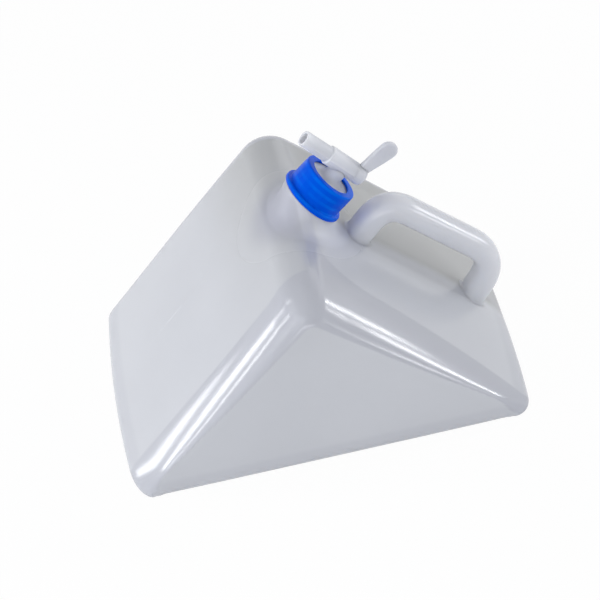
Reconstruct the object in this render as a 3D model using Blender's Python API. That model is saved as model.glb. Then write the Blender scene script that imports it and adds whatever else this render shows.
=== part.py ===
"""Collapsible water carrier, folded flat side down.

The body is a film box that has been pushed in on itself: its lower half lies inside its upper
half, which leaves a tent with two slopes and two triangular gables. +X points to the slope with
the handle and the cap, Y runs along the ridge, Z is up. Metres.
"""
import math

import bmesh
import bpy
import numpy as np
from mathutils import Vector

# Driving dimensions of the film body
slope_edge = 0.209
body_length = 0.238
film_wall = 0.0010
seat_gap = 0.0003
foot_gap = 0.00045
cut_overrun = 0.012

# Body form
ridge_fillet = 0.0255
corner_fillet = 0.004
left_bend_reach = 0.035
right_bend_reach = 0.051
right_bend_reach_foot = 0.017
bend_depth = 0.023
bend_depth_foot = 0.003
rim_bend_depth = 0.006
back_bend = 0.0205
back_bend_foot = 0.0110
rim_bulge = 0.0038
right_rim_tuck = 0.0020
panel_belly = 0.003
gable_rim_bulge = 0.0010
gable_belly = 0.003
crest_height = 0.0035
crest_half_width = 0.085
crest_round = 0.002
rim_height = 0.0075
fold_width = 0.0075
fold_flat = 0.0008
return_height = 0.004
crown_height = 0.040

# Places on the handle slope: down the slope from the ridge, and off its plane
cap_place = 0.0169
cap_lean = math.radians(5.5)
flange_level = 0.0140

# Neck
neck_radius = 0.0185
neck_wall = 0.0022
shoulder_step = 0.0056
shoulder_flare = 0.0105
shoulder_foot_level = -0.0200
shoulder_lean = 0.0225
shoulder_wall = 0.0018
neck_thread_height = 0.0015

# Thread of the neck and of the cap ring
thread_pitch = 0.006
thread_root_width = 0.0024
thread_crest_width = 0.0012
thread_clearance = 0.0005
thread_turns = 1.75
thread_root_sink = 0.0004

# Cap ring
ring_wall = 0.0020
ring_top_level = 0.0374
ring_lip_thickness = 0.0020
ring_lip_width = 0.0036
flange_width = 0.0031
flange_height = 0.0042
flange_round = 0.0012
ring_round = 0.0008
rib_count = 24
rib_width = 0.0016
rib_height = 0.0004

# Washer and tap
washer_thickness = 0.0012
washer_overlap = 0.0016
disc_thickness = 0.0022
disc_clearance = 0.0013
stem_radius = 0.0066
stem_bore_radius = 0.0030
barrel_level = 0.0507
barrel_radius = 0.0076
barrel_length = 0.0249
barrel_end = 0.0096
barrel_round = 0.0008
spout_radius = 0.0064
spout_bore_radius = 0.0044
spout_end = 0.0400
plug_radius = 0.0053
plug_clearance = 0.0003
plug_length = 0.0190
plug_bore_radius = 0.0032
plug_port_radius = 0.0026
head_radius = 0.0074
head_length = 0.0120
head_round = 0.0030

# Tap lever
lever_reach = 0.0354
lever_place = 0.0143
lever_root_width = 0.0084
lever_tip_width = 0.0130
lever_thickness = 0.0042
lever_edge_round = 0.0012
lever_lean = math.radians(9.5)

# Handle: centre line on the handle slope
handle_near = 0.0690
handle_far = 0.1805
handle_near_level = 0.0412
handle_far_level = 0.0440
handle_depth = 0.0205
handle_width = 0.0240
handle_wall = 0.0015
handle_near_bend = 0.0215
handle_far_bend = 0.0270
handle_flare = 0.0030
handle_root = 0.0100

# Shares
crease_end_share = 0.88
ray_share_low = 0.2
ray_share_high = 1.4
row_crowding_share = 1.4
thread_end_share = 0.1
handle_oval_share = 0.8
bend_least_share = 0.000001

# Working distances of the meshes
merge_distance = 0.00001
fine_distance = 0.000001
probe_distance = 0.00001
sharp_angle = math.radians(35)

# Steps of the meshes
pull_steps = 40
thread_end_steps = 3
tip_steps = 8
slope_steps = 16
gable_steps = 12
roof_rows = 13
fold_rows = 7
film_rows = 7
crown_rows = 5
turn_steps = 24
small_turn_steps = 20
section_steps = 14
bend_steps = 6

# Worked-out sizes
tent_height = slope_edge / math.sqrt(2)
ridge_level = rim_height + tent_height
half_length = body_length / 2
film_height = ridge_level - fold_width * math.sqrt(2)
crown_foot = film_height - crown_height
ring_inner_radius = neck_radius + neck_thread_height + thread_clearance
ring_outer_radius = ring_inner_radius + ring_wall
ring_lip_radius = ring_inner_radius - ring_lip_width
flange_radius = ring_outer_radius + flange_width
neck_bore_radius = neck_radius - neck_wall
shoulder_top_radius = neck_radius + shoulder_step
shoulder_foot_radius = shoulder_top_radius + shoulder_flare
washer_bore_radius = neck_bore_radius - washer_overlap
disc_radius = ring_inner_radius - disc_clearance
disc_top = ring_top_level - ring_lip_thickness - seat_gap
disc_level = disc_top - disc_thickness
washer_level = disc_level - seat_gap - washer_thickness
neck_top_level = washer_level - seat_gap
ridge_line = (0, 0, ridge_level)
slope_turn = (0, math.radians(45), 0)
cap_turn = (0, math.radians(45) + cap_lean, 0)


def clear_scene():
    for old in list(bpy.data.objects):
        bpy.data.objects.remove(old, do_unlink=True)


def paint(name, colour, roughness, alpha=1.0):
    mat = bpy.data.materials.new(name)
    mat.use_nodes = True
    shader = mat.node_tree.nodes["Principled BSDF"]
    shader.inputs["Base Color"].default_value = (*colour, 1.0)
    shader.inputs["Roughness"].default_value = roughness
    shader.inputs["Metallic"].default_value = 0.0
    shader.inputs["Alpha"].default_value = alpha
    mat.diffuse_color = (*colour, alpha)
    return mat


def add_object(name, mesh, mat=None, place=(0, 0, 0), turn=(0, 0, 0)):
    item = bpy.data.objects.new(name, mesh)
    bpy.context.scene.collection.objects.link(item)
    item.location = place
    item.rotation_euler = turn
    if mat:
        mesh.materials.append(mat)
        mesh.shade_smooth()
        mesh.set_sharp_from_angle(angle=sharp_angle)
    return item


def cutter(name, mesh, place=(0, 0, 0), turn=(0, 0, 0)):
    item = add_object(name, mesh, None, place, turn)
    item.hide_render = True
    item.display_type = "WIRE"
    return item


def boolean(item, other, operation):
    mod = item.modifiers.new(other.name, "BOOLEAN")
    mod.operation = operation
    mod.solver = "EXACT"
    mod.object = other


def mesh_from(name, points, faces):
    mesh = bpy.data.meshes.new(name)
    work = bmesh.new()
    verts = [work.verts.new(p) for p in points]
    for face in faces:
        work.faces.new([verts[i] for i in face])
    bmesh.ops.remove_doubles(work, verts=work.verts, dist=fine_distance)
    bmesh.ops.dissolve_degenerate(work, edges=work.edges, dist=fine_distance)
    bmesh.ops.recalc_face_normals(work, faces=work.faces)
    work.to_mesh(mesh)
    work.free()
    return mesh


# Film body: every ring of points is the sharp tent at one height, pulled onto the rounded tent

def rounded(first, second, radius):
    """Joins two plane distances by a fillet of the given radius."""
    inside_a = np.maximum(first + radius, 0)
    inside_b = np.maximum(second + radius, 0)
    both = np.sqrt(inside_a ** 2 + inside_b ** 2) - radius
    return np.where((first > -radius) & (second > -radius), both, np.maximum(first, second))


def bent(roof, gable, reach, depth):
    """Joins the roof to a gable by a quarter ellipse, which starts the reach behind the gable."""
    along = np.maximum(gable + reach, 0) / reach
    under = np.maximum(roof + depth, 0) / depth
    spread = np.maximum(along ** 2 + under ** 2, bend_least_share)
    size = (depth * under ** 2 + reach * along ** 2) / spread
    both = (np.sqrt(spread) - 1) * size
    return np.where((gable > -reach) & (roof > -depth), both, np.maximum(roof, gable))


def body_distance(points, inset):
    """Below zero inside the rounded tent whose planes lie the inset inside the driving box."""
    x, y, z = points.T
    length = half_length - inset
    height = ridge_level - inset * math.sqrt(2)
    across = np.clip(1 - (y / length) ** 2, 0, 1)
    down = np.clip((height - z) / (height - rim_height), 0, 1)
    swell = rim_bulge * across * down ** 2 + panel_belly * across * np.sin(math.pi * down)
    fall = np.clip(1 - np.hypot(y, crest_round) / crest_half_width, 0, 1)
    crest = crest_height * fall * (1 - (2 * down - 1) ** 4)
    right = (x + z - height) / math.sqrt(2) - swell - crest + right_rim_tuck * down ** 2
    left = (-x + z - height) / math.sqrt(2) - swell
    wide = np.clip(1 - (x / tent_height) ** 4, 0, 1)
    gable_swell = wide * (gable_rim_bulge * down ** 2 + gable_belly * np.sin(math.pi * down))
    gable = np.abs(y) - length - gable_swell
    roof = rounded(left, right, max(ridge_fillet - inset, corner_fillet))
    to_right = np.clip(0.5 + x / (2 * ridge_fillet), 0, 1)
    right_reach = right_bend_reach_foot + (right_bend_reach - right_bend_reach_foot) * (1 - down ** 2)
    front_reach = left_bend_reach + (right_reach - left_bend_reach) * to_right
    at_rim = np.clip((down - crease_end_share) / (1 - crease_end_share), 0, 1)
    front_depth = (bend_depth_foot + (bend_depth - bend_depth_foot) * (1 - down)
                   + rim_bend_depth * at_rim ** 2)
    back = back_bend_foot + (back_bend - back_bend_foot) * (1 - down ** 2)
    reach = np.where(y < 0, front_reach, back) - inset
    depth = np.where(y < 0, front_depth, back) - inset
    return bent(roof, gable, np.maximum(reach, corner_fillet), np.maximum(depth, corner_fillet))


def pull_on(points, inset):
    """Moves each point along its ray from the middle of the rim onto the rounded tent."""
    middle = np.array([0, 0, rim_height])
    ray = np.array(points) - middle
    low = np.full(len(ray), ray_share_low)
    high = np.full(len(ray), ray_share_high)
    for _ in range(pull_steps):
        share = (low + high) / 2
        outside = body_distance(middle + ray * share[:, None], inset) > 0
        high = np.where(outside, share, high)
        low = np.where(outside, low, share)
    return middle + ray * low[:, None]


def tent_ring(level, inset):
    """Points round the sharp tent at one height, in order from the right front corner."""
    length = half_length - inset
    width = ridge_level - inset * math.sqrt(2) - level
    along = np.sin(math.pi / 2 * np.linspace(-1, 1, slope_steps + 1))[:-1]
    across = np.sin(math.pi / 2 * np.linspace(-1, 1, gable_steps + 1))[:-1]
    ring = [(width, length * k, level) for k in along]
    ring += [(-width * k, length, level) for k in across]
    ring += [(-width, -length * k, level) for k in along]
    ring += [(width * k, -length, level) for k in across]
    return np.array(ring)


def film_rings(inset, low, high, rows, power):
    """Rings on the rounded tent from the high level down to the low one, closer near the top."""
    shares = (np.arange(rows + 1) / rows) ** power
    return [pull_on(tent_ring(high - (high - low) * k, inset), inset) for k in shares]


def steepest(points, inset):
    """Directions down the wall at each point."""
    step = probe_distance
    slopes = [body_distance(points + step * axis, inset) - body_distance(points - step * axis, inset)
              for axis in np.eye(3)]
    normal = np.stack(slopes, 1)
    normal /= np.linalg.norm(normal, axis=1)[:, None]
    down = normal * normal[:, 2:] - np.array([0, 0, 1])
    return down / np.linalg.norm(down, axis=1)[:, None]


def fold_rings(outer, inner):
    """The fold at the rim: the film turns from the outer wall to the inner one, flat underneath."""
    drop = (rim_height + fold_flat) * 4 / 3
    outer_way = steepest(outer, 0)
    inner_way = steepest(inner, fold_width)
    outer_aim = outer - outer_way / outer_way[:, 2:] * drop
    inner_aim = inner - inner_way / inner_way[:, 2:] * drop
    rings = []
    for k in np.arange(1, fold_rows) / fold_rows:
        ring = (outer * (1 - k) ** 3 + outer_aim * 3 * k * (1 - k) ** 2
                + inner_aim * 3 * k * k * (1 - k) + inner * k ** 3)
        ring[:, 2] = np.maximum(ring[:, 2], 0)
        rings.append(ring)
    return rings


def loft(name, rings, close_foot=False):
    """Faces between rings, which run from the top down; a top ring at the ridge merges shut."""
    count = len(rings[0])
    points = np.concatenate(rings)
    faces = []
    for row in range(len(rings) - 1):
        for i in range(count):
            k = (i + 1) % count
            faces.append((row * count + i, (row + 1) * count + i,
                          (row + 1) * count + k, row * count + k))
    if close_foot:
        last = (len(rings) - 1) * count
        faces.append([last + i for i in range(count - 1, -1, -1)])
    mesh = bpy.data.meshes.new(name)
    work = bmesh.new()
    verts = [work.verts.new(p) for p in points]
    for face in faces:
        work.faces.new([verts[i] for i in face])
    bmesh.ops.remove_doubles(work, verts=work.verts, dist=merge_distance)
    bmesh.ops.dissolve_degenerate(work, edges=work.edges, dist=fine_distance)
    work.to_mesh(mesh)
    work.free()
    return mesh


def thicken(item, thickness):
    mod = item.modifiers.new("film", "SOLIDIFY")
    mod.thickness = thickness
    mod.offset = -1
    mod.use_even_offset = False


def lean_foot(mesh):
    """Shifts what lies under the neck's collar down the slope, more the deeper it is."""
    collar = flange_level - seat_gap
    for vert in mesh.vertices:
        depth = max(0, collar - vert.co.z) / (collar - shoulder_foot_level)
        vert.co.x += shoulder_lean * depth
    return mesh


def upper_half(mat):
    roof = film_rings(0, rim_height, ridge_level, roof_rows, row_crowding_share)
    inner_foot = pull_on(tent_ring(rim_height, fold_width), fold_width)
    inner_top = pull_on(tent_ring(rim_height + return_height, fold_width), fold_width)
    rings = roof + fold_rings(roof[-1], inner_foot) + [inner_foot, inner_top]
    item = add_object("upper_half", loft("upper_half", rings), mat)
    thicken(item, film_wall)
    collar = flange_level - seat_gap
    hole = cutter("neck_hole", lean_foot(turned("neck_hole", [
        (0, shoulder_foot_level), (neck_bore_radius, shoulder_foot_level),
        (neck_bore_radius, collar), (0, collar)], turn_steps)), cap_origin(), cap_turn)
    boolean(item, hole, "DIFFERENCE")
    bore = cutter("handle_holes", handle_sweep("handle_holes", handle_wall, handle_root), ridge_line,
                  slope_turn)
    boolean(item, bore, "DIFFERENCE")


def inside_film(rings, name, mat):
    mesh = loft(name, rings)
    mesh.flip_normals()
    item = add_object(name, mesh, mat)
    thicken(item, film_wall)


def lower_half(mat):
    foot = rim_height + return_height + seat_gap
    inside_film(film_rings(fold_width, foot, crown_foot, film_rows, 1.0), "lower_half_walls", mat)
    crown = film_rings(fold_width, crown_foot + seat_gap, film_height, crown_rows, row_crowding_share)
    inside_film(crown, "lower_half_crown", mat)


def body_cutter():
    """The whole space under the outer film, a foot gap larger, to trim what stands on it."""
    top = ridge_level + foot_gap * math.sqrt(2)
    rings = film_rings(-foot_gap, rim_height, top, roof_rows, row_crowding_share)
    return cutter("body_space", loft("body_space", rings, True))


# Turned pieces

def turned(name, profile, steps, start=0.0):
    """Turns a closed outline of radius and level about Z; the first facet starts at the given angle."""
    mesh = bpy.data.meshes.new(name)
    work = bmesh.new()
    line = [work.verts.new((r * math.cos(start), r * math.sin(start), z)) for r, z in profile]
    edges = [work.edges.new((line[i], line[(i + 1) % len(line)])) for i in range(len(line))]
    bmesh.ops.spin(work, geom=line + edges, cent=(0, 0, 0), axis=(0, 0, 1),
                   angle=2 * math.pi, steps=steps, use_merge=True)
    bmesh.ops.remove_doubles(work, verts=work.verts, dist=fine_distance)
    bmesh.ops.dissolve_degenerate(work, edges=work.edges, dist=fine_distance)
    flat = [f for f in work.faces if f.calc_area() < fine_distance ** 2]
    bmesh.ops.delete(work, geom=flat, context="FACES_ONLY")
    loose = [e for e in work.edges if not e.link_faces]
    bmesh.ops.delete(work, geom=loose, context="EDGES")
    bmesh.ops.recalc_face_normals(work, faces=work.faces)
    work.to_mesh(mesh)
    work.free()
    return mesh


def helix(name, root, crest, start, turns):
    """A thread: a tapered band wound at the thread's pitch, sunk a little into what carries it."""
    out = 1 if crest > root else -1
    base = root - out * thread_root_sink
    steps = round(turns * turn_steps)
    points = []
    for i in range(steps + 1):
        angle = 2 * math.pi * i / turn_steps
        level = start + thread_pitch * i / turn_steps
        taper = min(1, i / thread_end_steps, (steps - i) / thread_end_steps)
        top = root + (crest - root) * max(taper, thread_end_share)
        for radius, side in ((base, -thread_root_width), (top, -thread_crest_width),
                             (top, thread_crest_width), (base, thread_root_width)):
            points.append((radius * math.cos(angle), radius * math.sin(angle), level + side / 2))
    faces = []
    for i in range(steps):
        for k in range(4):
            n = (k + 1) % 4
            faces.append((i * 4 + k, i * 4 + n, i * 4 + 4 + n, i * 4 + 4 + k))
    faces.append((3, 2, 1, 0))
    faces.append(tuple(steps * 4 + k for k in range(4)))
    return mesh_from(name, points, faces)


def cap_origin():
    """Foot of the cap's axis on the slope's plane."""
    down = cap_place / math.sqrt(2)
    return (down, 0, ridge_level - down)


def neck(mat, body_space):
    collar = flange_level - seat_gap
    inside_foot = shoulder_foot_radius - shoulder_wall
    profile = [
        (inside_foot, shoulder_foot_level), (shoulder_foot_radius, shoulder_foot_level),
        (shoulder_top_radius, collar), (neck_radius, collar), (neck_radius, neck_top_level),
        (neck_bore_radius, neck_top_level), (neck_bore_radius, collar),
        (neck_bore_radius, collar - shoulder_wall)]
    item = add_object("threaded_neck", lean_foot(turned("threaded_neck", profile, turn_steps)), mat,
                      cap_origin(), cap_turn)
    start = collar + thread_root_width
    wound = cutter("neck_thread", helix("neck_thread", neck_radius, neck_radius + neck_thread_height,
                                        start, thread_turns), cap_origin(), cap_turn)
    boolean(item, wound, "UNION")
    boolean(item, body_space, "DIFFERENCE")


def cap_ring(mat, frame):
    body = ring_outer_radius
    top = ring_top_level
    foot = flange_level
    profile = [
        (ring_inner_radius, foot), (flange_radius - flange_round, foot), (flange_radius, foot + flange_round),
        (flange_radius, foot + flange_height - flange_round),
        (flange_radius - flange_round, foot + flange_height), (body, foot + flange_height),
        (body, top - ring_round), (body - ring_round, top), (ring_lip_radius, top),
        (ring_lip_radius, top - ring_lip_thickness), (ring_inner_radius, top - ring_lip_thickness)]
    item = add_object("cap_ring", turned("cap_ring", profile, turn_steps), mat)
    item.parent = frame
    start = flange_level - seat_gap + thread_root_width + thread_pitch / 2
    wound = cutter("ring_thread", helix("ring_thread", ring_inner_radius, neck_radius + thread_clearance,
                                        start, thread_turns))
    wound.parent = frame
    boolean(item, wound, "UNION")
    ribs = cutter("ring_ribs", rib_mesh())
    ribs.parent = frame
    boolean(item, ribs, "UNION")


def rib_mesh():
    """Grip ribs round the ring, each a low bar from the flange to below the top edge."""
    foot = flange_level + flange_height - flange_round
    head = ring_top_level - ring_lip_thickness
    points = []
    faces = []
    for i in range(rib_count):
        middle = 2 * math.pi * (i + 0.5) / rib_count
        for level in (foot, head):
            for radius, half in ((ring_outer_radius - ring_wall / 2, rib_width / 2),
                                 (ring_outer_radius + rib_height, rib_width / 4)):
                for side in (-half, half):
                    angle = middle + side / ring_outer_radius
                    points.append((radius * math.cos(angle), radius * math.sin(angle), level))
        k = i * 8
        faces += [(k, k + 1, k + 3, k + 2), (k + 4, k + 6, k + 7, k + 5), (k, k + 4, k + 5, k + 1),
                  (k + 2, k + 3, k + 7, k + 6), (k, k + 2, k + 6, k + 4), (k + 1, k + 5, k + 7, k + 3)]
    return mesh_from("ring_ribs", points, faces)


def washer(mat):
    profile = [
        (washer_bore_radius, washer_level), (neck_radius, washer_level),
        (neck_radius, washer_level + washer_thickness), (washer_bore_radius, washer_level + washer_thickness)]
    add_object("neck_washer", turned("neck_washer", profile, turn_steps), mat, cap_origin(), cap_turn)


def tap_body(mat, frame):
    """Disc, stem, barrel and spout in one; the barrel's axis lies across the cap's axis."""
    step = barrel_end - barrel_length
    stem_top = barrel_level - barrel_radius / 2
    tube = [
        (0, barrel_end), (barrel_radius - barrel_round, barrel_end),
        (barrel_radius, barrel_end - barrel_round),
        (barrel_radius, step + barrel_round), (barrel_radius - barrel_round, step), (spout_radius, step),
        (spout_radius, -spout_end), (0, -spout_end)]
    item = add_object("tap_body", turned("tap_body", [
        (0, disc_level), (disc_radius, disc_level), (disc_radius, disc_top), (stem_radius, disc_top),
        (stem_radius, stem_top), (0, stem_top)], turn_steps), mat)
    item.parent = frame
    half_step = math.pi / turn_steps
    lying = (0, math.radians(90), 0)
    barrel = cutter("barrel", turned("barrel", tube, turn_steps, half_step), (0, 0, barrel_level), lying)
    deep = barrel_end - plug_length - plug_clearance
    bore = cutter("barrel_bore", turned("barrel_bore", [
        (0, barrel_end + cut_overrun), (plug_radius, barrel_end + cut_overrun), (plug_radius, deep),
        (spout_bore_radius, deep), (spout_bore_radius, -spout_end - cut_overrun),
        (0, -spout_end - cut_overrun)], turn_steps, half_step), (0, 0, barrel_level), lying)
    way = cutter("stem_bore", turned("stem_bore", [
        (0, disc_level - cut_overrun), (stem_bore_radius, disc_level - cut_overrun),
        (stem_bore_radius, barrel_level), (0, barrel_level)], small_turn_steps))
    for other in (barrel, bore, way):
        other.parent = frame
    boolean(bore, way, "UNION")
    boolean(item, barrel, "UNION")
    boolean(item, bore, "DIFFERENCE")


def lever_mesh():
    """Paddle in the plane of the barrel and the cap's axis, wider to its round tip."""
    root = lever_root_width / 2
    tip = lever_tip_width / 2
    outline = [(-root, 0), (root, 0)]
    outline += [(tip * math.cos(a), lever_reach - tip + tip * math.sin(a))
                for a in np.linspace(0, math.pi, tip_steps + 1)]
    mesh = bpy.data.meshes.new("lever")
    work = bmesh.new()
    verts = [work.verts.new((x, -lever_thickness / 2, z)) for x, z in outline]
    face = work.faces.new(verts)
    moved = bmesh.ops.extrude_face_region(work, geom=[face])
    far = [v for v in moved["geom"] if isinstance(v, bmesh.types.BMVert)]
    bmesh.ops.translate(work, verts=far, vec=(0, lever_thickness, 0))
    bmesh.ops.recalc_face_normals(work, faces=work.faces)
    sides = [e for e in work.edges if abs(e.verts[0].co.y - e.verts[1].co.y) < lever_edge_round]
    bmesh.ops.bevel(work, geom=sides, offset=lever_edge_round, segments=1, affect="EDGES")
    work.to_mesh(mesh)
    work.free()
    return mesh


def tap_key(mat, frame):
    """Hollow plug in the barrel, its head outside the barrel's end, and the lever on the head."""
    radius = plug_radius - plug_clearance
    near = barrel_end + plug_clearance
    end = near + head_length
    lying = (0, math.radians(90), 0)
    profile = [
        (0, end), (head_radius - head_round, end), (head_radius - head_round / 4, end - head_round / 3),
        (head_radius, end - head_round), (head_radius, near), (radius, near),
        (radius, barrel_end - plug_length), (plug_bore_radius, barrel_end - plug_length),
        (plug_bore_radius, barrel_end - plug_bore_radius), (0, barrel_end - plug_bore_radius)]
    item = add_object("tap_key", turned("tap_key", profile, small_turn_steps), mat, (0, 0, 0), lying)
    item.parent = frame
    lever = cutter("lever", lever_mesh(), (lever_place, 0, 0), (0, lever_lean, 0))
    port = cutter("plug_port", turned("plug_port", [
        (0, 0), (plug_port_radius, 0), (plug_port_radius, radius + cut_overrun),
        (0, radius + cut_overrun)], small_turn_steps), (0, 0, 0), (math.radians(90), 0, 0))
    for other, operation in ((lever, "UNION"), (port, "DIFFERENCE")):
        other.parent = frame
        boolean(item, other, operation)


# Handle: an oval tube swept along a bent line in the middle plane of the slope

def handle_line(root):
    """Points of the handle's centre line as place down the slope and level off it."""
    near_leg = (handle_near, -root)
    near_corner = (handle_near, handle_near_level)
    far_corner = (handle_far - handle_flare, handle_far_level)
    far_leg = (handle_far + handle_flare, -root)
    line = [near_leg]
    corners = ((near_leg, near_corner, far_corner, handle_near_bend),
               (near_corner, far_corner, far_leg, handle_far_bend))
    for before, corner, after, bend in corners:
        middle = Vector(corner)
        back = (Vector(before) - middle).normalized()
        on = (Vector(after) - middle).normalized()
        for k in np.linspace(0, 1, bend_steps + 1):
            line.append(tuple(middle + back * bend * (1 - k) ** 2 + on * bend * k ** 2))
    line.append(far_leg)
    return [Vector((s, 0, h)) for s, h in line]


def handle_sweep(name, inset, root):
    """The handle's tube with closed ends, smaller all round by the inset, down to the root's depth."""
    line = handle_line(root)
    points = []
    faces = []
    for i, middle in enumerate(line):
        before = line[max(i - 1, 0)]
        after = line[min(i + 1, len(line) - 1)]
        way = (after - before).normalized()
        side = Vector((way.z, 0, -way.x))
        for k in range(section_steps):
            angle = 2 * math.pi * k / section_steps
            across = math.cos(angle)
            along = math.sin(angle)
            deep = (handle_depth / 2 - inset) * math.copysign(abs(across) ** handle_oval_share, across)
            wide = (handle_width / 2 - inset) * math.copysign(abs(along) ** handle_oval_share, along)
            points.append(middle + side * deep + Vector((0, wide, 0)))
    for i in range(len(line) - 1):
        for k in range(section_steps):
            n = (k + 1) % section_steps
            a = i * section_steps
            b = a + section_steps
            faces.append((a + k, a + n, b + n, b + k))
    faces.append(tuple(range(section_steps - 1, -1, -1)))
    faces.append(tuple((len(line) - 1) * section_steps + k for k in range(section_steps)))
    return mesh_from(name, points, faces)


def handle(mat, body_space):
    item = add_object("carry_handle", handle_sweep("carry_handle", 0, handle_root), mat, ridge_line,
                      slope_turn)
    hollow = cutter("handle_hollow", handle_sweep("handle_hollow", handle_wall, handle_root + cut_overrun),
                    ridge_line, slope_turn)
    boolean(item, hollow, "DIFFERENCE")
    boolean(item, body_space, "DIFFERENCE")


def empty(name, place, turn=(0, 0, 0), parent=None):
    item = bpy.data.objects.new(name, None)
    bpy.context.scene.collection.objects.link(item)
    item.location = place
    item.rotation_euler = turn
    item.parent = parent
    return item


def build():
    clear_scene()
    film = paint("film", (0.80, 0.82, 0.86), 0.32)
    inner_film = paint("inner_film", (0.76, 0.78, 0.83), 0.35)
    blue = paint("blue_cap", (0.005, 0.09, 0.62), 0.28)
    white = paint("white_tap", (0.84, 0.85, 0.88), 0.35)
    soft = paint("washer", (0.86, 0.86, 0.84), 0.6)
    body_space = body_cutter()
    upper_half(film)
    lower_half(inner_film)
    neck(film, body_space)
    handle(film, body_space)
    washer(soft)
    cap_frame = empty("cap_axis", cap_origin(), cap_turn)
    cap_ring(blue, cap_frame)
    tap_body(white, cap_frame)
    key_frame = empty("key_axis", (0, 0, barrel_level), (0, 0, 0), cap_frame)
    tap_key(white, key_frame)


build()
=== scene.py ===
import math

import bmesh
import bpy
import numpy as np
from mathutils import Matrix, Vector


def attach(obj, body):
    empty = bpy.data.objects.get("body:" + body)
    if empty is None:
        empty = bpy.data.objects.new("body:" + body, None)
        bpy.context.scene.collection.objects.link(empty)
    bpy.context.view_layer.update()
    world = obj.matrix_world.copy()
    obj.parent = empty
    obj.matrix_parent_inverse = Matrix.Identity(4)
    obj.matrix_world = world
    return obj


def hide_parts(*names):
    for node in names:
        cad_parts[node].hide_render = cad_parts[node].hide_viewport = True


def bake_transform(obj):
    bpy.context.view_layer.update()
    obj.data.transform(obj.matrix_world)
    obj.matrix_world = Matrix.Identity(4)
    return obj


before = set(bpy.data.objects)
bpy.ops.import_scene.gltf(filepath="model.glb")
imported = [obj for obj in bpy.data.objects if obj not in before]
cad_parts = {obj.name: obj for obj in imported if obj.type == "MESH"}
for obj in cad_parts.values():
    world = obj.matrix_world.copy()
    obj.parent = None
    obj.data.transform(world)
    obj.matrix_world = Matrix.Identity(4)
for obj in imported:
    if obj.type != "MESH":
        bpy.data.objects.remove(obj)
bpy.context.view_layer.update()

scene = bpy.context.scene
scene.view_settings.view_transform = "Standard"
print("water carrier: frame loaded,", len(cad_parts), "nodes")


# camera

view = {"place": (-0.0521, -1.5256, 1.2365), "turn": (51.833, 8.997, -8.951), "lens": 150.0,
        "nearest": 0.01}

eye = bpy.data.objects.new("eye", bpy.data.cameras.new("eye"))
eye.data.lens = view["lens"]
eye.data.clip_start = view["nearest"]
eye.location = view["place"]
eye.rotation_euler = [math.radians(a) for a in view["turn"]]
scene.collection.objects.link(eye)
scene.camera = eye


# shader helpers

# Gives inputs, by name or number, a plain value or a link from another node's output
def setInputs(tree, node, inputs):
    for label, value in inputs.items():
        if isinstance(value, bpy.types.NodeSocket):
            tree.links.new(value, node.inputs[label])
        else:
            node.inputs[label].default_value = value


def addNode(tree, kind, inputs, **settings):
    node = tree.nodes.new(kind)
    for name, value in settings.items():
        setattr(node, name, value)
    setInputs(tree, node, inputs)
    return node


def addMath(tree, operation, *values):
    return addNode(tree, "ShaderNodeMath", dict(enumerate(values)), operation=operation).outputs[0]


def mixColours(tree, share, first, second):
    mix = addNode(tree, "ShaderNodeMix", {"Factor": share, "A": first, "B": second}, data_type="RGBA")
    return mix.outputs["Result"]


def newMaterial(name):
    mat = bpy.data.materials.new(name)
    mat.use_nodes = True
    return mat, mat.node_tree


# 1 where the camera, a mirror reflection or a look through glass meets the surface
def seenDirectly(tree):
    path = addNode(tree, "ShaderNodeLightPath", {})
    share = path.outputs["Is Camera Ray"]
    for other in ("Is Glossy Ray", "Is Transmission Ray"):
        share = addMath(tree, "MAXIMUM", share, path.outputs[other])
    return share


# room and lamps

room = {"worldGrey": (0.50, 0.51, 0.54), "worldPower": 0.72, "floorGrey": 0.84, "floorRough": 0.9,
        "floorGlow": 0.96, "floorHalf": 3.0, "floorLevel": -0.0006}


# White to the camera, grey and softer as a light
def makeWorld():
    world = bpy.data.worlds.new("studio")
    scene.world = world
    world.use_nodes = True
    tree = world.node_tree
    soft = tree.nodes["Background"]
    setInputs(tree, soft, {"Color": (*room["worldGrey"], 1), "Strength": room["worldPower"]})
    white = addNode(tree, "ShaderNodeBackground", {"Color": (1, 1, 1, 1), "Strength": 1.0})
    mix = addNode(tree, "ShaderNodeMixShader", {0: seenDirectly(tree), 1: soft.outputs[0],
                                                2: white.outputs[0]})
    setInputs(tree, tree.nodes["World Output"], {"Surface": mix.outputs[0]})


def makeFloor():
    mesh = bpy.data.meshes.new("floor")
    half = room["floorHalf"]
    mesh.from_pydata([(-half, -half, 0), (half, -half, 0), (half, half, 0), (-half, half, 0)], [],
                     [(0, 1, 2, 3)])
    floor = bpy.data.objects.new("floor", mesh)
    floor.location.z = room["floorLevel"]
    scene.collection.objects.link(floor)
    mat, tree = newMaterial("floorPaper")
    shade = tree.nodes["Principled BSDF"]
    grey = room["floorGrey"]
    setInputs(tree, shade, {"Base Color": (grey, grey, grey, 1), "Roughness": room["floorRough"]})
    glow = addNode(tree, "ShaderNodeEmission", {"Strength": 1.0})
    share = addMath(tree, "MULTIPLY", seenDirectly(tree), room["floorGlow"])
    mix = addNode(tree, "ShaderNodeMixShader", {0: share, 1: shade.outputs[0], 2: glow.outputs[0]})
    setInputs(tree, tree.nodes["Material Output"], {"Surface": mix.outputs[0]})
    mesh.materials.append(mat)


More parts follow.
